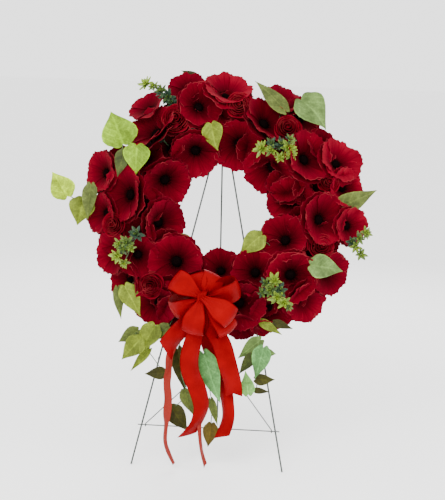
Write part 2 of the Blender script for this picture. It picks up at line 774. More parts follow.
def petal(
    axes, size, middle, seed, flower_seed, tone, depth=CUP_DEPTH, counts=FINE, span=PETAL_SPAN
):
    """One petal. Angle: the petal's middle plus its half span times the place across, narrower at
    the throat. Radius: a small share of the size at the throat, growing evenly to the rim, which is
    rounded at both corners, waved, and toothed. Height: a power of the radius with a small
    roll-back at the rim, plus the cup's waves. One side is lifted over its neighbour, and part of
    the rim curls back."""
    throat, _, axis, right, up = axes
    rng = np.random.default_rng(seed)
    v, s = (place.T for place in grid(*counts))
    v = 1 - (1 - v) ** RIM_CROWDING
    to_side = np.abs(s)
    angle = middle + s * span * (0.74 + 0.26 * v)
    a, b, c = rng.uniform(0, TURN, 3)
    teeth = np.abs((s * TEETH / 2 + rng.uniform(0, 1)) % 1.0 - 0.5) * 2 - 0.5
    jag = teeth * (TOOTH_DEPTH + 0.035 * np.sin(9 * s + a)) + 0.014 * np.sin(23 * s + c)
    reach = 1.0 - 0.03 * s**2 - CORNER_LOSS * rise(to_side, 0.72) ** 2
    reach = reach + 0.022 * np.sin(1.5 * TURN * s + a) + 0.018 * np.sin(2.65 * TURN * s + b)
    radius = THROAT + (1 - THROAT) * v * (reach + jag * rise(v, 0.8))
    height = depth * (1.16 * radius**1.3 - 0.16 * radius**6)
    height = height + 0.045 * v * (s**2 - 0.45) + OVERLAP_LIFT * s * np.sqrt(v)
    curl = np.exp(-(((s - rng.uniform(-0.7, 0.7)) / 0.35) ** 2)) * rng.uniform(-0.4, 1.0)
    curl = curl * rise(v, 0.62) ** 2
    radius = radius - CURL_IN * curl
    height = size * (height + 0.02 * v**6 * np.sin(11 * s + b) - CURL_BACK * curl)
    height = height + cup_waves(angle, v, np.random.default_rng(flower_seed), size)
    mid = surface(throat, (axis, height), (spoke(right, up, angle), size * radius))
    edge = np.maximum(v, rise(to_side, 0.94) * 0.97)
    return shell(mid, SILK_THICK, s * 0.5 + 0.5, v, edge, tone=tone)


one = petal(flower_axes(12, 200, 0, 0), 50.0, 0.0, 1, 1, 1.0)
print("one petal:", len(one["co"]), "points")

# %% [markdown]
# The eye is a low bumpy dome. Its stamens are tiny rods that lean out of it all round, each with a
# bead at its end: a rod is a four-sided spindle, because there are hundreds on the whole wreath.

# %% The eye and its stamens
# radius and height for a flower of the usual size, whose petals are this long
EYE_PROFILE = [(0, -2), (5, -2), (9.5, 0), (10.6, 3), (9.4, 6), (6.4, 8.2), (3.2, 9.1), (0, 9.3)]
USUAL_SIZE = 54.0
STAMENS = 22
# places along a stamen and its thickness there: foot, neck, bead and end
STAMEN_PLACES = np.array([0.0, 0.72, 0.86, 1.0])
STAMEN_THICK = np.array([0.32, 0.24, 0.85, 0.15])


def eye_patches(axes, share, seed):
    """A turned dome with a wavy outline, and the stamens: spindles whose rings of four points sit
    at the foot, the neck, the bead and the end."""
    throat, _, axis, right, up = axes
    rng = np.random.default_rng(seed)
    profile = np.array(EYE_PROFILE) * share
    dome = turned(profile, throat + axis * 2.5, axis, 20, 0.06, 9, finish=1)
    out = spoke(right, up, circle(STAMENS) + rng.uniform(-0.08, 0.08, STAMENS))
    long = share * rng.uniform(12.5, 16.0, STAMENS)[:, None]
    high = share * rng.uniform(7.5, 10.5, STAMENS)[:, None]
    foot = throat + out * 7.5 * share + axis * 4.0 * share
    line = throat + out * long + axis * high - foot
    side = np.cross(out, axis)
    lean = np.cross(unit(line), side)
    ring = spoke(side[:, None, None], lean[:, None, None], circle(4))
    middles = foot[:, None, None] + line[:, None, None] * STAMEN_PLACES[:, None, None]
    co = middles + ring * (share * STAMEN_THICK)[:, None, None]
    each = np.concatenate([grid_faces(4, 4, True), [[3, 2, 1, 0], [12, 13, 14, 15]]])[:, ::-1]
    faces = (each[None] + 16 * np.arange(STAMENS)[:, None, None]).reshape(-1, 4)
    return [dome, patch(co.reshape(-1, 3), [faces], finish=1)]


print("each poppy has", STAMENS, "stamens")

# %% [markdown]
# Behind the flower the petals are held by a green calyx, and a taped wire bends from it to the
# ring. A whole poppy is all of these together. Each petal is a little lighter or darker than the
# flower's own tone, because the silk takes the dye unevenly.

# %% Calyx, stem and the whole poppy
CALYX = [(0, -9), (2.6, -8.6), (4.6, -6), (6.2, -3), (5.0, -1.2), (0, -1.0)]
FLOWER_STEM = 1.9
UNDER_PETALS = 3
UNDER_SIZE = 1.07
UNDER_DEPTH = 0.30
UNDER_SPAN = np.radians(72)


def stem_patches(axes, finish_index, calyx=CALYX):
    """The calyx behind the flower and the wire that bends from it to the ring."""
    throat, root, axis, _, _ = axes
    neck = throat - axis * 7.0
    bends = [neck, neck - axis * 5.0, root + OUTWARD * 3.0, root - OUTWARD * 6.0]
    return [
        turned(calyx, throat, axis, 14, 0.06, 5, finish=finish_index),
        tube(spline(bends, np.linspace(0, 1, 12)), FLOWER_STEM, 8, finish=finish_index),
    ]


def poppy(name, row, seed, nodes=()):
    """Three petals in the under whorl, four petals a quarter turn apart, eye, calyx and stem."""
    hour, distance, size, outward, round_clock, bright = row
    axes = flower_axes(hour, distance, outward, round_clock)
    rng = np.random.default_rng(seed)
    first = rng.uniform(0, TURN)
    under = (UNDER_DEPTH, COARSE, UNDER_SPAN)
    patches = []
    for k in range(UNDER_PETALS):
        turn, tone = first + 0.6 + k * TURN / UNDER_PETALS, bright * rng.uniform(0.62, 0.85)
        patches.append(petal(axes, size * UNDER_SIZE, turn, seed * 11 + k, seed, tone, *under))
    for k in range(4):
        turn = first + k * TURN / 4 + rng.uniform(-0.08, 0.08)
        tone = bright * rng.uniform(0.82, 1.15)
        patches.append(petal(axes, size, turn, seed * 7 + k, seed, tone))
    patches += eye_patches(axes, size / USUAL_SIZE, seed) + stem_patches(axes, 2)
    return piece(name, patches, [POPPY_SILK, EYE, STEM], nodes=nodes)


print("poppy parts are ready")

# %% [markdown]
# The poppies stand all round the ring in groups, as the solids do. A few on the right-hand side
# catch more light and have faded to a lighter red, and those in the shade between others are
# deeper.

# %% All the poppies
# clock hour, distance from the middle, size, looking outward, looking round the clock, tone
POPPIES = {
    "poppies_4": [
        (3.96, 166, 54, -18, 1, 1.0), (4.47, 219, 57, 20, 6, 0.95), (4.05, 272, 48, 38, -8, 0.95),
    ],
    "poppies_3": [(3.29, 213, 56, 38, -7, 1.0), (3.27, 276, 42, 42, 4, 1.35)],
    "poppies_2": [
        (2.03, 198, 58, 40, 1, 1.0), (2.30, 262, 52, 38, -11, 1.45), (2.68, 264, 44, 33, 10, 1.5),
    ],
    "poppies_3_inner": [
        (1.72, 140, 57, -42, 17, 1.05), (2.49, 150, 44, -5, -19, 0.8),
        (2.84, 153, 52, -2, 10, 0.95),
    ],
    "poppies_12": [(0.86, 191, 57, 37, 21, 0.9), (0.46, 140, 56, -24, -1, 1.0)],
    "poppies_1": [(0.98, 254, 46, 46, -9, 1.1), (1.33, 250, 46, 34, 12, 0.8)],
    "poppies_11": [
        (11.45, 214, 50, 2, 20, 0.95), (11.35, 260, 42, 27, -2, 0.85),
        (11.99, 234, 54, 46, 17, 1.5),
    ],
    "poppy_11_inner": [(11.05, 134, 55, -38, -17, 1.05)],
    "poppies_10": [(10.47, 203, 60, 45, 2, 1.0), (9.68, 139, 55, -33, -22, 1.0)],
    "poppy_8_inner": [(8.37, 149, 56, -40, -34, 1.0)],
    "poppies_9": [
        (9.06, 195, 60, 38, -6, 1.1), (9.41, 262, 47, 43, -12, 1.15), (8.75, 252, 45, 45, 0, 1.05),
    ],
    "poppy_7_inner": [(7.14, 162, 60, 11, -7, 1.0)],
    "poppies_8": [
        (8.05, 252, 47, 35, 13, 1.05), (7.57, 259, 43, 43, 18, 0.9), (7.83, 215, 45, 2, -18, 0.85),
    ],
    "poppies_7": [(7.0, 260, 47, 27, -8, 0.9), (6.65, 250, 45, 35, -5, 0.75)],
    "poppies_6": [(5.57, 223, 55, 25, -8, 0.85), (5.92, 153, 46, -22, -3, 0.95)],
    "poppies_5": [
        (5.05, 174, 51, -2, 4, 0.95), (5.09, 254, 48, 33, 4, 0.85), (4.59, 271, 48, 45, -10, 1.05),
    ],
}
poppies = [
    poppy(f"{node}_flower_{k + 1}", row, 100 + 10 * n + k, [node])
    for n, (node, rows) in enumerate(POPPIES.items())
    for k, row in enumerate(rows)
]
print("poppies:", len(poppies), "faces in the first:", len(poppies[0].data.polygons))

# %% [markdown]
# More poppies are pushed in deep between the others, so the ring never shows from in front. They
# are in shade and mostly hidden, so each is made of four coarser petals without stamens, and stands
# lower over the ring.

# %% The poppies deep in the wreath
DEEP_STANDOFF = 32.0
DEEP_CUP = 0.45
DEEP_POPPIES = [
    (9.90, 193, 44, 18, 13, 0.60), (10.49, 165, 40, 24, -3, 0.85), (10.66, 262, 46, 45, 6, 1.05),
    (0.94, 139, 40, -9, 9, 0.55), (1.73, 175, 38, -1, 6, 0.50), (2.66, 196, 43, 9, 7, 0.60),
    (3.39, 185, 38, 4, 4, 0.60), (4.52, 160, 38, 6, 1, 0.55), (5.13, 224, 42, 19, 5, 0.50),
    (8.86, 167, 42, -3, -5, 0.65), (8.16, 194, 40, 6, -3, 0.65), (7.66, 155, 38, -5, -10, 0.55),
    (6.91, 227, 44, 15, -12, 0.50), (7.52, 223, 38, 12, -7, 0.55), (5.57, 266, 38, 50, 22, 0.70),
    (11.75, 176, 43, -11, -4, 0.45), (0.01, 202, 42, 8, 3, 0.60), (3.59, 236, 38, 25, -4, 0.65),
    (3.98, 229, 38, 15, 5, 0.55), (1.92, 246, 40, 34, 8, 0.85), (10.97, 204, 43, 17, -2, 0.60),
    (9.62, 235, 42, 35, -3, 0.60), (8.31, 243, 38, 36, 8, 0.65), (6.37, 192, 46, 23, -3, 0.45),
    (5.90, 243, 44, 43, -3, 0.50), (4.74, 252, 38, 33, 1, 0.60), (5.31, 280, 26, 55, 5, 1.10),
    (11.65, 225, 40, 14, 12, 0.60),
]


def deep_poppy(number, row):
    """A poppy low over the ring: four coarse petals, the eye and the stem."""
    hour, distance, size, outward, round_clock, bright = row
    axes = flower_axes(hour, distance, outward, round_clock, DEEP_STANDOFF)
    rng = np.random.default_rng(300 + number)
    patches = []
    for k in range(4):
        turn, tone = hour + k * TURN / 4, bright * rng.uniform(0.8, 1.15)
        seed = 2000 + 7 * number + k
        patches.append(petal(axes, size, turn, seed, number, tone, DEEP_CUP, COARSE))
    patches += eye_patches(axes, size / USUAL_SIZE, number)[:1] + stem_patches(axes, 2)
    return piece(f"deep_poppy_{number + 1}", patches, [POPPY_SILK, EYE, STEM])


deep = [deep_poppy(number, row) for number, row in enumerate(DEEP_POPPIES)]
print("deep poppies:", len(deep), "faces in the first:", len(deep[0].data.polygons))

# %% [markdown]
# ## Roses
# The small roses are rolled: petal after petal is wound round a bud, each a little further out,
# lower and more open than the last, a golden angle on from it. Their rims are paler and curl back,
# which gives the flower its light lines.

# %% Roses
ROSE_GRID = (10, 25)
ROSE_PETALS = 17
ROSE_THICK = 0.55
GOLDEN = np.radians(137.508)
BUD_FOOT = 0.10
ROSE_CALYX = [(0, -6), (5, -5), (11, 0), (13, 4), (8, 5), (0, 5)]
# clock hour, distance from the middle, size, looking outward, looking round the clock
ROSES = {
    "rose_11": (10.95, 202, 31, 4, 0),
    "rose_8": (8.49, 234, 27, 18, 4),
    "rose_7": (7.22, 235, 29, 10, 0),
    "rose_2": (2.57, 233, 25, 14, 3),
    "rose_4": (3.75, 233, 30, 14, -4),
    "rose_12": (0.27, 211, 29, 4, 0),
    "rose_1": (1.34, 211, 29, 8, 0),
}


def rose_petal(axes, size, k, rng):
    """One rolled petal, number k from the middle. It is part of a widening tube: the radius grows
    from the base to the petal's own ring, the top curls outward by the fifth power of the height,
    and the rim is highest in its middle and gently waved. Outer petals are lighter."""
    tone = (0.75 + 0.4 * k / ROSE_PETALS) * rng.uniform(0.9, 1.1)
    throat, _, axis, right, up = axes
    v, s = (place.T for place in grid(*ROSE_GRID))
    share = k / (ROSE_PETALS - 1)
    ring = 0.12 + 0.80 * share**0.85
    top = 1.32 - 0.42 * share**1.5
    a, b = rng.uniform(0, TURN, 2)
    angle = k * GOLDEN + s * np.radians(95 - 38 * share)
    crest = 1 - 0.10 * s**2 - 0.16 * rise(np.abs(s), 0.75) ** 2 + 0.025 * np.sin(6 * s + a)
    climb = v * crest
    radius = ring * (0.30 + 0.70 * np.sin(np.minimum(climb * 1.25, 1.0) * TURN / 4))
    radius = radius + (0.03 + 0.15 * share) * climb**5 + 0.02 * climb**3 * np.sin(5 * s + b)
    height = BUD_FOOT + (top - BUD_FOOT) * climb - (0.04 + 0.16 * share) * climb**6
    mid = surface(throat, (axis, size * height), (spoke(right, up, angle), size * radius))
    edge = np.maximum(v, rise(np.abs(s), 0.9) * 0.96)
    return shell(mid, ROSE_THICK, s * 0.5 + 0.5, v, edge, tone=tone)


for n, (node, (hour, distance, size, outward, round_clock)) in enumerate(ROSES.items()):
    axes = flower_axes(hour, distance, outward, round_clock)
    rng = np.random.default_rng(400 + n)
    patches = [rose_petal(axes, size, k, rng) for k in range(ROSE_PETALS)]
    bud = [(0, 0), (4, 2), (5, size * 0.6), (3.5, size), (0, size * 1.1)]
    patches += [turned(bud, axes[0], axes[2], 12)] + stem_patches(axes, 1, ROSE_CALYX)
    piece(f"{node}_flower", patches, [ROSE_SILK, STEM], nodes=[node])
print("roses:", len(ROSES), "petals in each:", ROSE_PETALS)

# %% [markdown]
# ## Leaves
# The leaves are heart-shaped, like those of a pothos, stamped from printed cloth with a wire rib
# behind. One grid runs from the stem end to the tip and from side to side. Two round lobes reach
# back past the stem, the blade bows up and then droops to its tip, the halves rise from the midrib,
# and the veins are pressed in as shallow grooves that fork off the midrib.

# %% A leaf
LEAF_GRID = (31, 21)
# half width, as a share of the widest, at shares of the way from the stem to the tip
LEAF_SHARES = [0, 0.08, 0.2, 0.34, 0.5, 0.66, 0.8, 0.91, 1.0]
LEAF_WIDTHS = [0.58, 0.86, 1.0, 0.98, 0.82, 0.56, 0.30, 0.12, 0.01]
LEAF_THICK = 0.6
LOBES = 0.09
VEINS = 5.0
VEIN_DEPTH = 0.5


def leaf_blade(base, tip, width, roll, colour, rng):
    """A leaf blade. Half width along the leaf: from a table, with small teeth. Place along: plain,
    less a parabola in each half near the stem, which makes the two lobes. Height: a bow along the
    leaf, a fold at the midrib, a droop at the sides and slow waves, less a groove where a vein is.
    One half is often darker."""
    t, s = grid(*LEAF_GRID)
    length = np.linalg.norm(tip - base)
    ahead = unit(tip - base)
    level = unit(np.cross(ahead, OUTWARD))
    side = spoke(level, np.cross(ahead, level), np.radians(roll))
    half = np.interp(t, LEAF_SHARES, LEAF_WIDTHS)
    half = half * (1 + 0.03 * np.abs((t * 16) % 1.0 - 0.5)) * width / 2
    along = t - LOBES * (1 - t) ** 4 * (1 - (2 * np.abs(s) - 1) ** 2)
    x = s * half
    a, b = rng.uniform(0, TURN, 2)
    fork = (along * VEINS - np.abs(x) / length * VEINS * 0.85) % 1.0
    ribs = np.exp(-(((fork - 0.5) / 0.10) ** 2)) * (1 - t**3)
    midrib = np.exp(-((x / (0.035 * width)) ** 2))
    vein = np.clip(np.maximum(ribs * 0.8, midrib), 0, 1)
    bow = 0.10 * np.sin(TURN / 2 * np.clip(along, 0, 1)) - 0.03 * t**3
    valley = rng.uniform(0.10, 0.20) * np.abs(s) * (1 - 0.5 * t) - 0.085 * s**2
    wave = 0.028 * s**2 * np.sin(7 * t + a) + 0.022 * s * np.sin(4 * t + b)
    height = width * (bow + valley + wave) - VEIN_DEPTH * vein
    mid = surface(base, (ahead, along * length), (side, x), (np.cross(side, ahead), height))
    darker_half = 1.0 - rng.uniform(0.0, 0.45) * smooth_step(0.5 + 4 * s * rng.choice([-1, 1]))
    tone = np.tile(((0.86 + 0.14 * np.abs(s)) * darker_half + 0 * t).reshape(-1), 2)
    return shell(mid, LEAF_THICK, s * 0.5 + 0.5, t, vein, tone=tone, colour=colour)


def stalk_patch(points, radius):
    """A taped wire through a few points, bent smoothly."""
    return tube(spline(points, np.linspace(0, 1, 8 * len(points))), radius, 8, finish=1)


print("one blade has", LEAF_GRID[0] * LEAF_GRID[1], "points on each side")

# %% [markdown]
# Leaves that grow together are one piece, on a stem that comes from the ring. Colours differ from
# leaf to leaf: fresh yellow green, pale mint, mid green, and a few that have dried to olive brown.

# %% Leaf colours and stems
FRESH = (0.14, 0.25, 0.006)
YELLOW = (0.26, 0.38, 0.008)
LEAFY = (0.11, 0.145, 0.010)
MOSSY = (0.065, 0.085, 0.016)
DEEP = (0.036, 0.048, 0.010)
MINT = (0.065, 0.17, 0.045)
PALE = (0.11, 0.25, 0.055)
SAGE = (0.080, 0.135, 0.032)
OLIVE = (0.028, 0.027, 0.002)
DRIED = (0.057, 0.038, 0.003)


def nearest_on_ring(point):
    """The point of the ring's centreline that is nearest to a place."""
    centre = on_wreath(0, 0, RING_OUT)
    off = point - centre
    return centre + unit(off - OUTWARD * (off @ OUTWARD)) * RING_RADIUS


def leaf_piece(node, leaves, seed):
    """The leaves of one node, with a stem from the ring through all their stem ends."""
    rng = np.random.default_rng(seed)
    patches = [leaf_blade(*leaf, rng) for leaf in leaves]
    ends = [base * 0.92 + tip * 0.08 - OUTWARD * 1.5 for base, tip, *_ in leaves]
    patches.append(stalk_patch([nearest_on_ring(leaves[0][0])] + ends, 1.0))
    return piece(f"{node}_cloth", patches, [LEAF, STEM], nodes=[node])


print("nearest to the middle's right:", nearest_on_ring(on_wreath(50, 0, 0)).round(1))

# %% [markdown]
# The leaves in the wreath's face stand between the flowers, and a few stick out past them. A leaf
# is given by its two ends on the wreath's plane, because that is how a florist would place it.

# %% Leaves in the wreath's face
TIP_BACK = 4
# stem end (right, up), tip (right, up), width, height out of the wreath, roll, colour
FACE_LEAVES = {
    "leaves_10": [
        (-185, 107, -184, 45, 58, 122, -6, FRESH), (-212, 97, -226, 40, 34, 112, 4, DEEP),
        (-218, 113, -250, 185, 80, 104, 8, FRESH),
    ],
    "leaves_9": [
        (-290, 26, -294, -52, 34, 66, 6, MOSSY), (-306, -5, -318, -63, 58, 56, -8, LEAFY),
        (-345, 1, -383, 55, 56, 50, 10, YELLOW),
    ],
    "leaf_11": [(-67, 282, -107, 299, 18, 40, 0, OLIVE)],
    "leaf_12": [(-27, 164, -11, 107, 50, 108, 22, LEAFY)],
    "leaf_1": [(131, 201, 63, 267, 40, 98, 24, MOSSY)],
    "leaf_2": [(165, 228, 222, 166, 86, 92, -28, SAGE)],
    "leaf_3": [(253, -3, 339, 40, 46, 66, 18, MOSSY)],
    "leaf_4": [(201, -134, 269, -143, 52, 112, -6, SAGE)],
    "leaf_5_inner": [(93, -73, 47, -116, 48, 96, 10, LEAFY)],
    "leaf_7_inner": [
        (-85, -79, -44, -104, 22, 62, 0, DRIED), (-51, -140, -84, -148, 20, 66, 0, OLIVE),
    ],
    "leaves_8": [
        (-200, -195, -163, -258, 44, 78, -8, LEAFY), (-216, -199, -206, -267, 24, 72, 6, MOSSY),
    ],
    "leaves_5": [(97, -256, 146, -284, 20, 66, 0, LEAFY), (127, -257, 169, -270, 18, 60, 0, OLIVE)],
}
for n, (node, rows) in enumerate(FACE_LEAVES.items()):
    leaves = [
        (on_wreath(*row[:2], row[5]), on_wreath(*row[2:4], row[5] - TIP_BACK), row[4], *row[6:])
        for row in rows
    ]
    leaf_piece(node, leaves, 600 + n)
print("face leaves:", sum(len(rows) for rows in FACE_LEAVES.values()))

# %% [markdown]
# Below the wreath four sprays of leaves hang behind and beside the ribbons. They are the same
# leaves, given by plain coordinates, because they hang straight down from the ring.

# %% Hanging sprays
# stem end (x, y, z), tip (x, y, z), width, roll, colour
HANGING_LEAVES = {
    "spray_left": [
        (-93, -168, 311, -127, -170, 280, 34, 10, MOSSY),
        (-122, -176, 314, -149, -184, 256, 50, 14, LEAFY),
        (-161, -158, 298, -205, -158, 269, 34, -12, MOSSY),
        (-152, -184, 286, -192, -188, 238, 44, -8, LEAFY),
        (-134, -170, 260, -175, -168, 207, 20, 6, LEAFY),
        (-97, -172, 209, -143, -172, 204, 28, 0, OLIVE),
    ],
    "spray_middle_left": [
        (-72, -176, 264, -52, -180, 170, 38, -10, OLIVE),
        (-53, -184, 175, -32, -180, 118, 30, 10, MOSSY),
        (-82, -178, 133, -44, -180, 81, 42, 0, OLIVE),
    ],
    "spray_middle": [
        (-12, -204, 264, 27, -208, 157, 48, 8, MINT), (6, -192, 160, 22, -190, 101, 18, 0, MOSSY),
        (8, -188, 104, 2, -184, 49, 34, -10, DRIED),
    ],
    "spray_right": [
        (108, -158, 289, 60, -168, 248, 34, 6, SAGE),
        (115, -176, 277, 100, -188, 210, 42, -10, MINT),
        (119, -172, 266, 143, -168, 262, 18, 0, SAGE), (95, -170, 260, 64, -172, 214, 26, 0, DEEP),
        (100, -174, 205, 143, -170, 205, 26, 10, OLIVE),
        (98, -176, 181, 132, -174, 178, 14, 0, OLIVE), (86, -186, 174, 78, -180, 224, 32, 8, PALE),
    ],
}
for n, (node, rows) in enumerate(HANGING_LEAVES.items()):
    leaves = [(under_apex(*row[:3]), under_apex(*row[3:6]), *row[6:]) for row in rows]
    leaf_piece(node, leaves, 640 + n)
print("hanging leaves:", sum(len(rows) for rows in HANGING_LEAVES.values()))

# %% [markdown]
# ## Sprigs
# The sprigs are moulded plastic boxwood: stems that end in tufts of small spoon-shaped leaflets,
# dark blue-green near the stem end and bright lime at the young tips. A tuft has three whorls: a
# low wide one, a middle one and a few short leaflets that stand nearly upright. There are hundreds
# of leaflets, so each one is a coarse cupped shell of a few faces.

# %% Leaflets and tufts
LEAFLET_GRID = (5, 3)
LEAFLET_THICK = 0.7
# leaflets in a whorl, how steeply they rise, and their share of the tuft's size
WHORLS = [(6, 4, 1.15), (5, 30, 0.92), (3, 62, 0.6)]
DARK_SPRIG = np.array([0.012, 0.040, 0.018])
LIME = np.array([0.20, 0.30, 0.012])


def leaflet(base, ahead, face, length, width, colour):
    """A pointed spoon: the middle dips, the tip lifts, and the colour pales towards the tip."""
    t, s = grid(*LEAFLET_GRID)
    x = s * np.interp(t, [0, 0.35, 0.7, 1], [0.35, 1.0, 0.78, 0.05]) * width / 2
    height = 0.22 * width * s**2 + 0.16 * length * t**2
    mid = surface(base, (ahead, t * length), (np.cross(ahead, face), x), (face, height))
    shade = colour * (0.45 + 0.75 * t)[..., None] + 0.10 * (t**3)[..., None] * (colour + 0.06)
    shade = np.broadcast_to(shade, mid.shape).reshape(-1, 3)
    return shell(mid, LEAFLET_THICK, s * 0.5 + 0.5, t + 0 * s, colour=np.tile(shade, (2, 1)))


def tuft(centre, axis, size, lime, rng):
    """The leaflets of one tuft about its axis. Colour runs from dark to lime with the tuft's own
    share of lime, more in the upper whorls, with some chance in it."""
    right = unit(np.cross(axis, UPSLOPE))
    up = np.cross(right, axis)
    patches = []
    for k, (count, steepness, share) in enumerate(WHORLS):
        for j in range(count):
            out = spoke(right, up, TURN * (j + 0.5 * k) / count + rng.uniform(-0.3, 0.3))
            lift = np.radians(steepness + rng.uniform(-10, 10))
            ahead, face = spoke(out, axis, lift), spoke(axis, -out, lift)
            long = size * share * rng.uniform(0.85, 1.1)
            green = np.clip(lime + 0.12 * (k - 1) + rng.uniform(-0.22, 0.22), 0, 1)
            colour = DARK_SPRIG * (1 - green) + LIME * green
            base = centre + axis * (2.0 * k - 2.0) + out * 1.2
            patches.append(leaflet(base, ahead, face, long, long * 0.42 + 1.0, colour))
    return patches


print("leaflets in a tuft:", sum(count for count, _, _ in WHORLS))

# %% [markdown]
# A sprig is given by its stem end and its tufts. A stem comes from the ring, and a stalk leaves it
# for each tuft and leans the way that the tuft stands off.

# %% Sprigs
# stem end (right, up), height out, and the tufts: right, up, size, share of lime
SPRIGS = {
    "sprig_11": ((-118, 210), 84, [
        (-118, 213, 15, 0.0), (-128, 226, 17, 0.0), (-144, 239, 15, 0.15), (-160, 248, 12, 0.6),
        (-178, 253, 18, 1.0),
    ]),
    "sprig_1": ((134, 120), 124, [
        (145, 133, 12, 0.3), (126, 122, 13, 0.1), (106, 123, 12, 0.1), (143, 115, 18, 0.75),
        (148, 101, 12, 0.85), (125, 93, 11, 0.85), (105, 107, 13, 0.8), (85, 111, 18, 0.95),
    ]),
    "sprig_8": ((-177, -83), 112, [
        (-177, -83, 17, 0.05), (-196, -103, 16, 0.3), (-186, -114, 10, 0.55),
        (-214, -106, 12, 0.65), (-203, -117, 12, 0.3), (-216, -133, 16, 0.95),
        (-200, -147, 11, 0.8),
    ]),
    "sprig_3": ((288, -76), 72, [
        (288, -76, 11, 0.05), (303, -67, 12, 0.4), (318, -55, 13, 0.7), (297, -87, 12, 0.7),
        (309, -102, 12, 0.5),
    ]),
    "sprig_5": ((116, -191), 110, [
        (107, -176, 12, 0.2), (99, -196, 10, 0.3), (116, -191, 15, 0.35), (137, -190, 15, 0.1),
        (124, -170, 16, 0.85), (132, -207, 16, 0.9), (147, -217, 15, 0.8), (158, -225, 9, 0.4),
    ]),
}


def sprig(node, row, seed):
    """A stem from the ring, and a stalk to each tuft."""
    (x, u), out, tufts = row
    start = on_wreath(x, u, out)
    rng = np.random.default_rng(seed)
    stem = [nearest_on_ring(start), start - OUTWARD * 14, start - OUTWARD * 5]
    patches = [stalk_patch(stem, 1.1)]
    for tuft_x, tuft_u, size, lime in tufts:
        centre = on_wreath(tuft_x, tuft_u, out + rng.uniform(-3, 4))
        away = centre - start
        sway, nod = rng.uniform(-0.3, 0.3, 2)
        axis = unit(OUTWARD + away / 90 + ACROSS * sway + UPSLOPE * nod)
        foot = start - OUTWARD * 9 + away * 0.35
        patches.append(stalk_patch([start - OUTWARD * 12, foot, centre - axis * 1.5], 0.9))
        patches += tuft(centre, axis, size, lime, rng)
    return piece(f"{node}_plastic", patches, [SPRIG, STEM], nodes=[node])


sprigs = [sprig(node, row, 700 + n) for n, (node, row) in enumerate(SPRIGS.items())]
print("tufts:", sum(len(tufts) for _, _, tufts in SPRIGS.values()), "in sprigs:", len(sprigs))

# %% [markdown]
# ## The bow
# The bow is made from one long 50 mm satin ribbon, folded into eight loops that are pinched
# together in the middle and wired. A loop is a grid along the ribbon and across it: out to its
# reach on one side and back on the other, narrow and pleated at the pinch and full width at the
# end. Its width direction is rolled, so some loops show their face and others their opening.

# %% Bow loops
RIBBON_WIDTH = 50.0
RIBBON_THICK = 0.6
LOOP_GRID = (65, 19)
PINCHED = 0.27
KNOT = (-27.0, -214.0, 122.0)
# angle it points to, reach, how far forward it stands, roll
LOOPS = [
    (150, 76, 8, 10), (203, 74, 0, -45), (104, 56, -8, -25), (66, 60, -6, 25),
    (18, 86, -2, 40), (-33, 84, 16, -8), (-101, 84, 8, 12), (-50, 98, -8, -20),
]


def at_knot(forward):
    """The middle of the knot, or a place so far in front of it."""
    return on_wreath(KNOT[0], KNOT[1], KNOT[2] + forward)


def loop_patch(angle, reach, forward, roll, rng):
    """One loop and the length of ribbon in it. With w running once round from 0 to 2 pi, the place
    out from the knot is the reach times a power of half of one minus the cosine of w, and the place
    across the loop's thickness is minus a sine of w. The width opens out with the place."""
    a, turn = np.radians(angle), np.radians(roll)
    run = spoke(ACROSS, UPSLOPE, a)
    wide = spoke(spoke(UPSLOPE, -ACROSS, a), OUTWARD, turn)
    w, s = grid(*LOOP_GRID, 0.0, TURN)
    far = ((1 - np.cos(w)) / 2) ** 0.72
    tall = -0.22 * np.sin(w) * np.sin(w / 2) ** 0.5 - 0.02 * np.sin(w / 2) ** 2
    open_width = PINCHED + (1 - PINCHED) * smooth_step(far / 0.72)
    b, c = rng.uniform(0, TURN, 2)
    pleat = 1.8 * (1 - open_width) * np.cos(1.5 * TURN * s + b)
    droop = 1.6 * np.sin(2 * s + c) * far
    crown = 0.88 * (1 - s**2) * np.sign(np.sin(TURN / 2 - w)) * np.abs(np.sin(w)) ** 0.5
    mid = surface(
        at_knot(forward + reach * 0.05),
        (run, reach * 0.97 * far * (1 - 0.05 * s**2)),
        (wide, s * RIBBON_WIDTH / 2 * open_width),
        (np.cross(run, wide), reach * tall + pleat + droop - crown),
    )
    length = path_length(mid[:, s.size // 2])
    along = np.linspace(0, length, w.size)[:, None] * MM
    return shell(mid, RIBBON_THICK, s * 0.5 + 0.5, along), length


rng = np.random.default_rng(800)
loops, lengths = zip(*[loop_patch(*row, rng) for row in LOOPS])
bow = piece("bow_ribbon", list(loops), [SATIN], nodes=["bow"])
print("ribbon in the loops, mm:", round(sum(lengths)))

# %% [markdown]
# The pinch is hidden by a short band of the same satin, gathered to half its width and wound once
# round all the loops. It is an ellipse in the upright plane, carried across.

# %% The knot
KNOT_HIGH, KNOT_DEEP = 13.5, 13.0
KNOT_GRID = (49, 13)


def knot_patch():
    """The band round the pinch, and its length. The band is widest above and below, its edges flare
    by a parabola, and two soft pleats run round it."""
    w, s = grid(*KNOT_GRID, -0.15, TURN)
    size = (1 + 0.05 * np.cos(2 * TURN * s) + 0.10 * s**2) * (1.0 - 0.04 * w / TURN)
    mid = surface(
        at_knot(4),
        (ACROSS, s * (11.0 + 1.5 * np.cos(2 * w))),
        (UPSLOPE, KNOT_HIGH * np.cos(w) * size),
        (OUTWARD, KNOT_DEEP * np.sin(w) * size),
    )
    band = shell(mid, RIBBON_THICK, s * 0.5 + 0.5, KNOT_DEEP * w * MM)
    return band, path_length(mid[:, s.size // 2])


knot_band, knot_length = knot_patch()
knot = piece("bow_knot", [knot_band], [SATIN])
print("ribbon round the knot, mm:", round(knot_length))

# %% [markdown]
# ## Tails and streamers
# Four satin tails hang from the knot. Each is a strip along a smooth curve through stations: a
# place, a width, and the turn of the width about the upright. The ends are cut: slanted, or with a
# shallow notch. The cut only shortens each line along the ribbon by its own share.

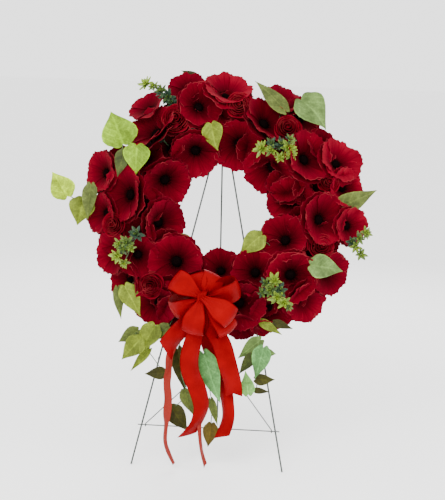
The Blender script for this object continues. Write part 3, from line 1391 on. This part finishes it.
# %% Tails
# x, y, z, width, turn
TAILS = {
    "tail_left": [
        (-30, -217, 372, 26, 20), (-48, -221, 342, 38, 26), (-66, -222, 314, 42, 26),
        (-84, -220, 288, 44, 18), (-100, -217, 257, 42, 8),
    ],
    "tail_middle": [
        (-30, -218, 366, 24, 0), (-31, -221, 312, 36, -8), (-40, -223, 262, 40, -14),
        (-37, -222, 226, 40, -8), (-22, -219, 188, 38, 4), (-12, -218, 150, 34, 20),
        (-18, -218, 120, 32, 32), (-32, -219, 96, 30, 30), (-52, -221, 72, 28, 20),
    ],
    "tail_right": [
        (-22, -218, 366, 24, 0), (6, -221, 324, 36, 10), (27, -222, 290, 40, 12),
        (41, -223, 247, 40, 8), (52, -219, 206, 38, -6), (56, -217, 176, 38, -12),
    ],
    "tail_behind": [
        (-22, -210, 360, 22, 0), (-8, -204, 315, 34, 14), (2, -194, 276, 36, 10),
        (18, -190, 241, 34, 4), (34, -192, 193, 32, -10), (42, -200, 150, 30, -24),
        (43, -204, 115, 30, -30), (30, -208, 72, 30, -14),
    ],
}
# how much of its length each line along the ribbon loses, from its place across
CUTS = {
    "tail_left": lambda s: 0.20 * (1 - s) / 2,
    "tail_middle": lambda s: 0.13 * (1 + s) / 2,
    "tail_right": lambda s: 0.05 * (1 - np.abs(s)),
    "tail_behind": lambda s: 0.06 * (1 + s) / 2,
}
TAIL_ROWS, TAIL_CURL = 61, 0.16
STRIP_COLUMNS = 11
FLUTTER = 1.6


def strip_patch(stations, cut, thick, rows, curl):
    """A hanging ribbon and its length. Each line along it follows the spline of the stations up to
    its own end. The width direction is laid square to the run, and the strip is bent across its
    width by a parabola that changes along it, with a little flutter."""
    t, s = grid(rows, STRIP_COLUMNS)
    found = spline(stations, t * (1 - cut(s)))
    centre, width = found[..., :3] + FLOOR_POINT, found[..., 3]
    run = unit(np.gradient(centre, axis=0))
    wide = spoke(ACROSS, np.array([0.0, 1.0, 0.0]), np.radians(found[..., 4]))
    side = unit(wide - run * (wide * run).sum(-1, keepdims=True))
    bend = width * curl * (s**2 - 0.35) * np.sin(5.0 * t + 0.6)
    flutter = FLUTTER * np.sin(11.0 * t + 2.0 * s)
    mid = surface(centre, (side, width / 2 * s), (np.cross(run, side), bend + flutter))
    length = path_length(spline(stations, np.linspace(0, 1, 200))[:, :3])
    return shell(mid, thick, s * 0.5 + 0.5, t * length * MM), length


for node, stations in TAILS.items():
    strip, length = strip_patch(stations, CUTS[node], RIBBON_THICK, TAIL_ROWS, TAIL_CURL)
    tail = piece(f"{node}_ribbon", [strip], [SATIN], nodes=[node])
    print(node, "mm:", round(float(length)))

# %% [markdown]
# Two thin sheer streamers fall nearly to the floor. They are the two ends of one narrow ribbon that
# is caught under the knot, so they are one piece made of two strips.

# %% Streamers
STREAMERS = [
    [
        (-36, -208, 362, 10, 10), (-66, -212, 310, 14, 10), (-84, -211, 262, 16, 10),
        (-87, -209, 226, 17, 30), (-89, -208, 196, 16, -10), (-86, -208, 160, 17, 25),
        (-88, -207, 125, 18, -10), (-90, -206, 100, 16, -50), (-91, -205, 66, 15, -58),
        (-83, -204, 40, 16, -50), (-68, -203, 10, 16, -48),
    ],
    [
        (-36, -208, 362, 10, 10), (-32, -208, 340, 10, 30), (-30, -210, 270, 14, 70),
        (-22, -210, 190, 14, 70), (-16, -209, 110, 15, 62), (-10, -206, 50, 15, 60),
        (0, -203, 10, 14, 60),
    ],
]
SHEER_WIDTH, SHEER_THICK = 16.0, 0.4
SHEER_ROWS, SHEER_CURL = 81, 0.05

strips, lengths = zip(
    *[
        strip_patch(rows, lambda s: 0.01 * (1 + s), SHEER_THICK, SHEER_ROWS, SHEER_CURL)
        for rows in STREAMERS
    ]
)
streamers = piece("sheer_streamers", list(strips), [SHEER], nodes=["streamers"])
print("sheer ribbon, mm:", round(sum(lengths)))

# %% [markdown]
# ## The easel
# The easel is bent from drawn steel wire. One wire makes both front legs and the bend over the
# apex, and a crossbar is welded across the legs. Each wire is a circle carried along its path, with
# points close together even where it is straight, so that its paint is even.

# %% Front legs and crossbar
TOP_HALF_RUN = 9.0
TOP_BEND = 5.0
LEG_RADIUS = 1.9
WIRE_RADIUS = 1.25
GAP = 0.35
CLOSE = 0.1
CROSSBAR_SHARE = 0.883
CROSSBAR_OVERHANG = 9.0


def along_leg(side, share, out=0.0):
    """A place on a front leg: a share of the way down it, on one side."""
    across = TOP_HALF_RUN + (FOOT_HALF_SPAN - TOP_HALF_RUN) * share
    return on_slope(side * across, SLANT * share, out)


def cross_at(x):
    """A place on the crossbar, which lies just behind the legs."""
    return on_slope(x, SLANT * CROSSBAR_SHARE, -(LEG_RADIUS + WIRE_RADIUS + GAP))


def drawn(path, step=12.0):
    """The same path with points no further apart than a step."""
    path = np.asarray(path)
    gaps = np.linalg.norm(np.diff(path, axis=0), axis=1)
    counts = np.maximum(np.ceil(gaps / step).astype(int), 1)
    parts = [a + (b - a) * (np.arange(n) / n)[:, None] for a, b, n in zip(path, path[1:], counts)]
    return np.concatenate(parts + [path[-1:]])


def wire_piece(name, path, radius, nodes, body="frame"):
    """A painted wire of the easel."""
    return piece(name, [tube(path, radius, 16)], [PAINT], body, nodes)


corners = [along_leg(-1, 1), along_leg(-1, 0), along_leg(1, 0), along_leg(1, 1)]
legs = rounded(corners, TOP_BEND, 8)
wire_piece("front_legs", drawn(legs), LEG_RADIUS, ["easel_top", "easel_left", "easel_right"])
half_bar = TOP_HALF_RUN + (FOOT_HALF_SPAN - TOP_HALF_RUN) * CROSSBAR_SHARE + CROSSBAR_OVERHANG
bar = drawn([cross_at(-half_bar), cross_at(half_bar)])
wire_piece("crossbar_wire", bar, WIRE_RADIUS, ["crossbar"])
print("front legs, mm:", round(path_length(legs)))

# %% [markdown]
# The back leg hangs from the bend at the apex by an eye and folds about it. The brace is one wire
# bent to a V: it swings on the crossbar by two eyes, and its nose catches the back leg from behind.
# Each rides on its own body, so they move with the joints.

# %% Back leg and brace
BACK_FOOT_Y = 175.0
BRACE_HALF_SPAN = 140.0
BRACE_REACH = 574.0
# across the nose and back from it: the two points of each half's last bend
NOSE_BEND = [(6.0, 6.0), (3.6, 1.0)]
EYE_RADIUS = 2 * LEG_RADIUS + GAP + CLOSE
BRACE_EYE = 2 * WIRE_RADIUS + GAP + CLOSE
back_tilt = np.arctan2(BACK_FOOT_Y, APEX_HEIGHT)
LEG_DOWN = np.array([0.0, np.sin(back_tilt), -np.cos(back_tilt)])
LEG_BEHIND = np.array([0.0, np.cos(back_tilt), np.sin(back_tilt)])


def on_back_leg(down, behind=0.0):
    """A place down the back leg from the apex, and behind its centreline."""
    return APEX + LEG_DOWN * down + LEG_BEHIND * (EYE_RADIUS + behind)


def eye_round(centre, radius, start, way, degrees, count):
    """A wire's eye round a centre, from the start direction towards the way direction."""
    return centre + radius * spoke(start, way, np.radians(np.linspace(*degrees, count)))


foot = on_back_leg((APEX_HEIGHT + EYE_RADIUS * np.sin(back_tilt)) / np.cos(back_tilt))
eye = eye_round(APEX, EYE_RADIUS, LEG_BEHIND, -LEG_DOWN, (0, 285), 29)
back_leg = np.concatenate([[foot], eye])
wire_piece("back_leg_wire", drawn(back_leg), LEG_RADIUS, ["back_leg"], "back_leg")

nose = on_back_leg(BRACE_REACH, LEG_RADIUS + WIRE_RADIUS + GAP + CLOSE)
arm = unit((nose - cross_at(0)) * np.array([0, 1, 1]))
above = np.array([0.0, -arm[2], arm[1]])
above = above * np.sign(above[2])


def brace_half(side):
    """Half of the brace: its eye on the crossbar, its arm, and the turn towards its nose."""
    ring = eye_round(cross_at(side * BRACE_HALF_SPAN), BRACE_EYE, above, -arm, (250, 0), 21)
    middle = np.array([FLOOR_POINT[0], *nose[1:]])
    bend = [middle + ACROSS * side * across - arm * back for across, back in NOSE_BEND]
    return np.concatenate([ring, bend])


brace = np.concatenate([brace_half(-1), [nose], brace_half(1)[::-1]])
wire_piece("brace_wire", drawn(brace), WIRE_RADIUS, ["brace"], "brace")
print("back leg, mm:", round(path_length(back_leg)))

# %% [markdown]
# Small hooks on the fronts of the legs stop the wreath from sliding, and a double hook at the apex
# carries its ring. They are thin wires, welded on and bent open at the top.

# %% Hooks
HOOK_FRONT = LEG_RADIUS + WIRE_RADIUS + GAP
HOOK_LOW, HOOK_HIGH = 0.714, 0.686
HOOK_CURL = 4.2
TOP_HOOK_SHARE = 0.05
TOP_HOOK_REACH = RING_TUBE + WIRE_RADIUS + GAP + 2.4


def leg_hook(side):
    """A short wire up the front of a leg that curls outward at its top."""
    low, high = along_leg(side, HOOK_LOW, HOOK_FRONT), along_leg(side, HOOK_HIGH, HOOK_FRONT)
    middle = high + OUTWARD * HOOK_CURL
    curl = eye_round(middle, HOOK_CURL, -OUTWARD, UPSLOPE, (0, 240), 21)
    return np.concatenate([[low], curl])


def top_hook():
    """The double hook at the apex: up behind the ring, over its top and a little down in front."""
    share = np.linspace(0, 1, 16)
    ring_top = WREATH_DOWN - RING_RADIUS
    tube_middle = on_slope(0, ring_top, RING_OUT)
    over = eye_round(tube_middle, TOP_HOOK_REACH, OUTWARD, -UPSLOPE, (150, 0), 16)
    sides = []
    for side in (-1, 1):
        arc = over + ACROSS * (side * (10.0 - 6.0 * share))[:, None]
        sides.append(np.concatenate([[along_leg(side, TOP_HOOK_SHARE, HOOK_FRONT)], arc]))
    tip = on_slope(0, ring_top - 4, RING_OUT + TOP_HOOK_REACH)
    return np.concatenate([sides[0], [tip], sides[1][::-1]])


wire_piece("left_hook_wire", leg_hook(-1), WIRE_RADIUS, ["hook_left"])
wire_piece("right_hook_wire", leg_hook(1), WIRE_RADIUS, ["hook_right"])
wire_piece("top_hook_wire", top_hook(), WIRE_RADIUS, ["hook_top"])
print("three hooks are on")
